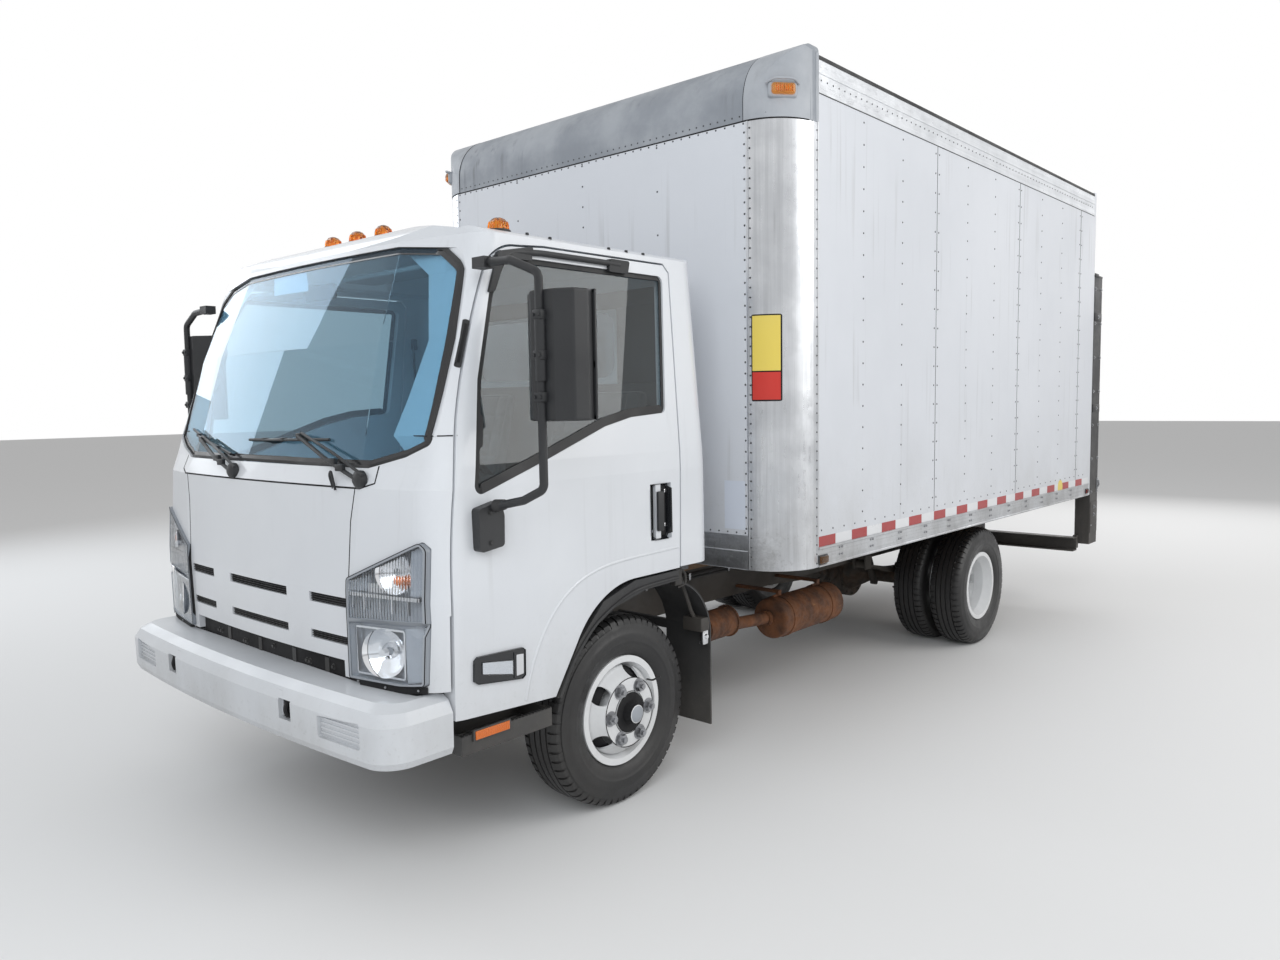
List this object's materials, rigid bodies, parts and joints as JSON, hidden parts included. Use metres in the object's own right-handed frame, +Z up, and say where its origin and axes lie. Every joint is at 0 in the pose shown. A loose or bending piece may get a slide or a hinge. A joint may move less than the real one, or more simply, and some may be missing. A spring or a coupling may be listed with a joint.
{
  "type": "cab-over box truck with rail lift",
  "caption": "Cab-over box truck: hinged doors, steered front wheels, twin rear wheels, dry-freight box with roll-up door, and a rail lift with folding platform.",
  "frame": {"origin": "on the ground, at the middle of the truck's overall length and width", "axes": "+Z up, the truck faces -Y, +X to its left (driver's side)"},
  "size_m": [2.787, 6.4198, 3.182],
  "materials": {
    "cab_white": "satin",
    "glass": "gloss",
    "black_trim": "matte",
    "interior_grey": "matte",
    "seat_cloth": "matte",
    "lamp_clear": "gloss",
    "lamp_amber": "gloss",
    "tyre": "matte",
    "wheel_white": "satin",
    "chassis_black": "satin",
    "rusty_steel": "matte",
    "cast_grey": "matte",
    "box_white": "satin",
    "bare_aluminium": "brushed",
    "cap_grey": "matte",
    "deck_wood": "matte",
    "flap_rubber": "matte",
    "lift_black": "satin"
  },
  "bodies": {
    "chassis": {"cab_shell": "cab_white", "cab_roof": "cab_white", "cab_floor": "interior_grey", "front_panel": "cab_white", "bumper": "cab_white", "headlamps": "lamp_clear", "windscreen": "glass", "rear_window": "glass", "dashboard": "interior_grey", "steering_wheel": "black_trim", "seats": "seat_cloth", "wheel_arches": "black_trim", "marker_lamps": "lamp_amber", "mud_flaps": "flap_rubber", "chassis_frame": "chassis_black", "front_axle": "cast_grey", "rear_axle": "cast_grey", "leaf_springs": "chassis_black", "engine_block": "cast_grey", "drive_shaft": "chassis_black", "exhaust": "rusty_steel", "fuel_tank": "chassis_black", "battery_box": "chassis_black", "box_front_wall": "box_white", "side_walls": "box_white", "box_roof": "bare_aluminium", "corner_posts": "bare_aluminium", "nose_cap": "cap_grey", "box_rails": "bare_aluminium", "box_floor": "deck_wood", "rear_frame": "bare_aluminium", "rollup_door": "box_white", "lift_columns": "lift_black"},
    "door_left": {"door_left": "cab_white", "door_glass_left": "glass", "mirror_left": "black_trim"},
    "door_right": {"door_right": "cab_white", "door_glass_right": "glass", "mirror_right": "black_trim"},
    "knuckle_left": {"knuckle_left": "cast_grey"},
    "knuckle_right": {"knuckle_right": "cast_grey"},
    "wheel_front_left": {"rim_front_left": "wheel_white", "tyre_front_left": "tyre"},
    "wheel_front_right": {"rim_front_right": "wheel_white", "tyre_front_right": "tyre"},
    "wheels_rear_left": {"rims_rear_left": "wheel_white", "tyres_rear_left": "tyre"},
    "wheels_rear_right": {"rims_rear_right": "wheel_white", "tyres_rear_right": "tyre"},
    "lift_carriage": {"lift_carriage": "lift_black"},
    "lift_platform": {"lift_platform": "lift_black"}
  },
  "joints": [
    {"name": "door_left_hinge", "type": "hinge", "parent": "chassis", "child": "door_left", "pos_m": [1.006, -2.866, 1.3], "axis": [0, 0, -1], "range_deg": [0, 70]},
    {"name": "door_right_hinge", "type": "hinge", "parent": "chassis", "child": "door_right", "pos_m": [-1.006, -2.866, 1.3], "axis": [0, 0, 1], "range_deg": [0, 70]},
    {"name": "steer_left", "type": "hinge", "parent": "chassis", "child": "knuckle_left", "pos_m": [0.74, -2, 0.374], "axis": [0, 0, 1], "range_deg": [-35, 35]},
    {"name": "steer_right", "type": "hinge", "parent": "chassis", "child": "knuckle_right", "pos_m": [-0.74, -2, 0.374], "axis": [0, 0, 1], "range_deg": [-35, 35]},
    {"name": "spin_front_left", "type": "hinge", "parent": "knuckle_left", "child": "wheel_front_left", "pos_m": [0.832, -2, 0.386], "axis": [1, 0, 0], "continuous": true},
    {"name": "spin_front_right", "type": "hinge", "parent": "knuckle_right", "child": "wheel_front_right", "pos_m": [-0.832, -2, 0.386], "axis": [1, 0, 0], "continuous": true},
    {"name": "spin_rear_left", "type": "hinge", "parent": "chassis", "child": "wheels_rear_left", "pos_m": [0.825, 1.365, 0.386], "axis": [1, 0, 0], "continuous": true},
    {"name": "spin_rear_right", "type": "hinge", "parent": "chassis", "child": "wheels_rear_right", "pos_m": [-0.825, 1.365, 0.386], "axis": [1, 0, 0], "continuous": true},
    {"name": "lift_slide", "type": "slide", "parent": "chassis", "child": "lift_carriage", "axis": [0, 0, 1], "range_m": [-0.85, 0]},
    {"name": "platform_fold", "type": "hinge", "parent": "lift_carriage", "child": "lift_platform", "pos_m": [0, 3.116, 0.945], "axis": [-1, 0, 0], "range_deg": [0, 90]}
  ],
  "couplings": [
    {"joint": "steer_right", "follows": "steer_left", "ratio": 1}
  ]
}
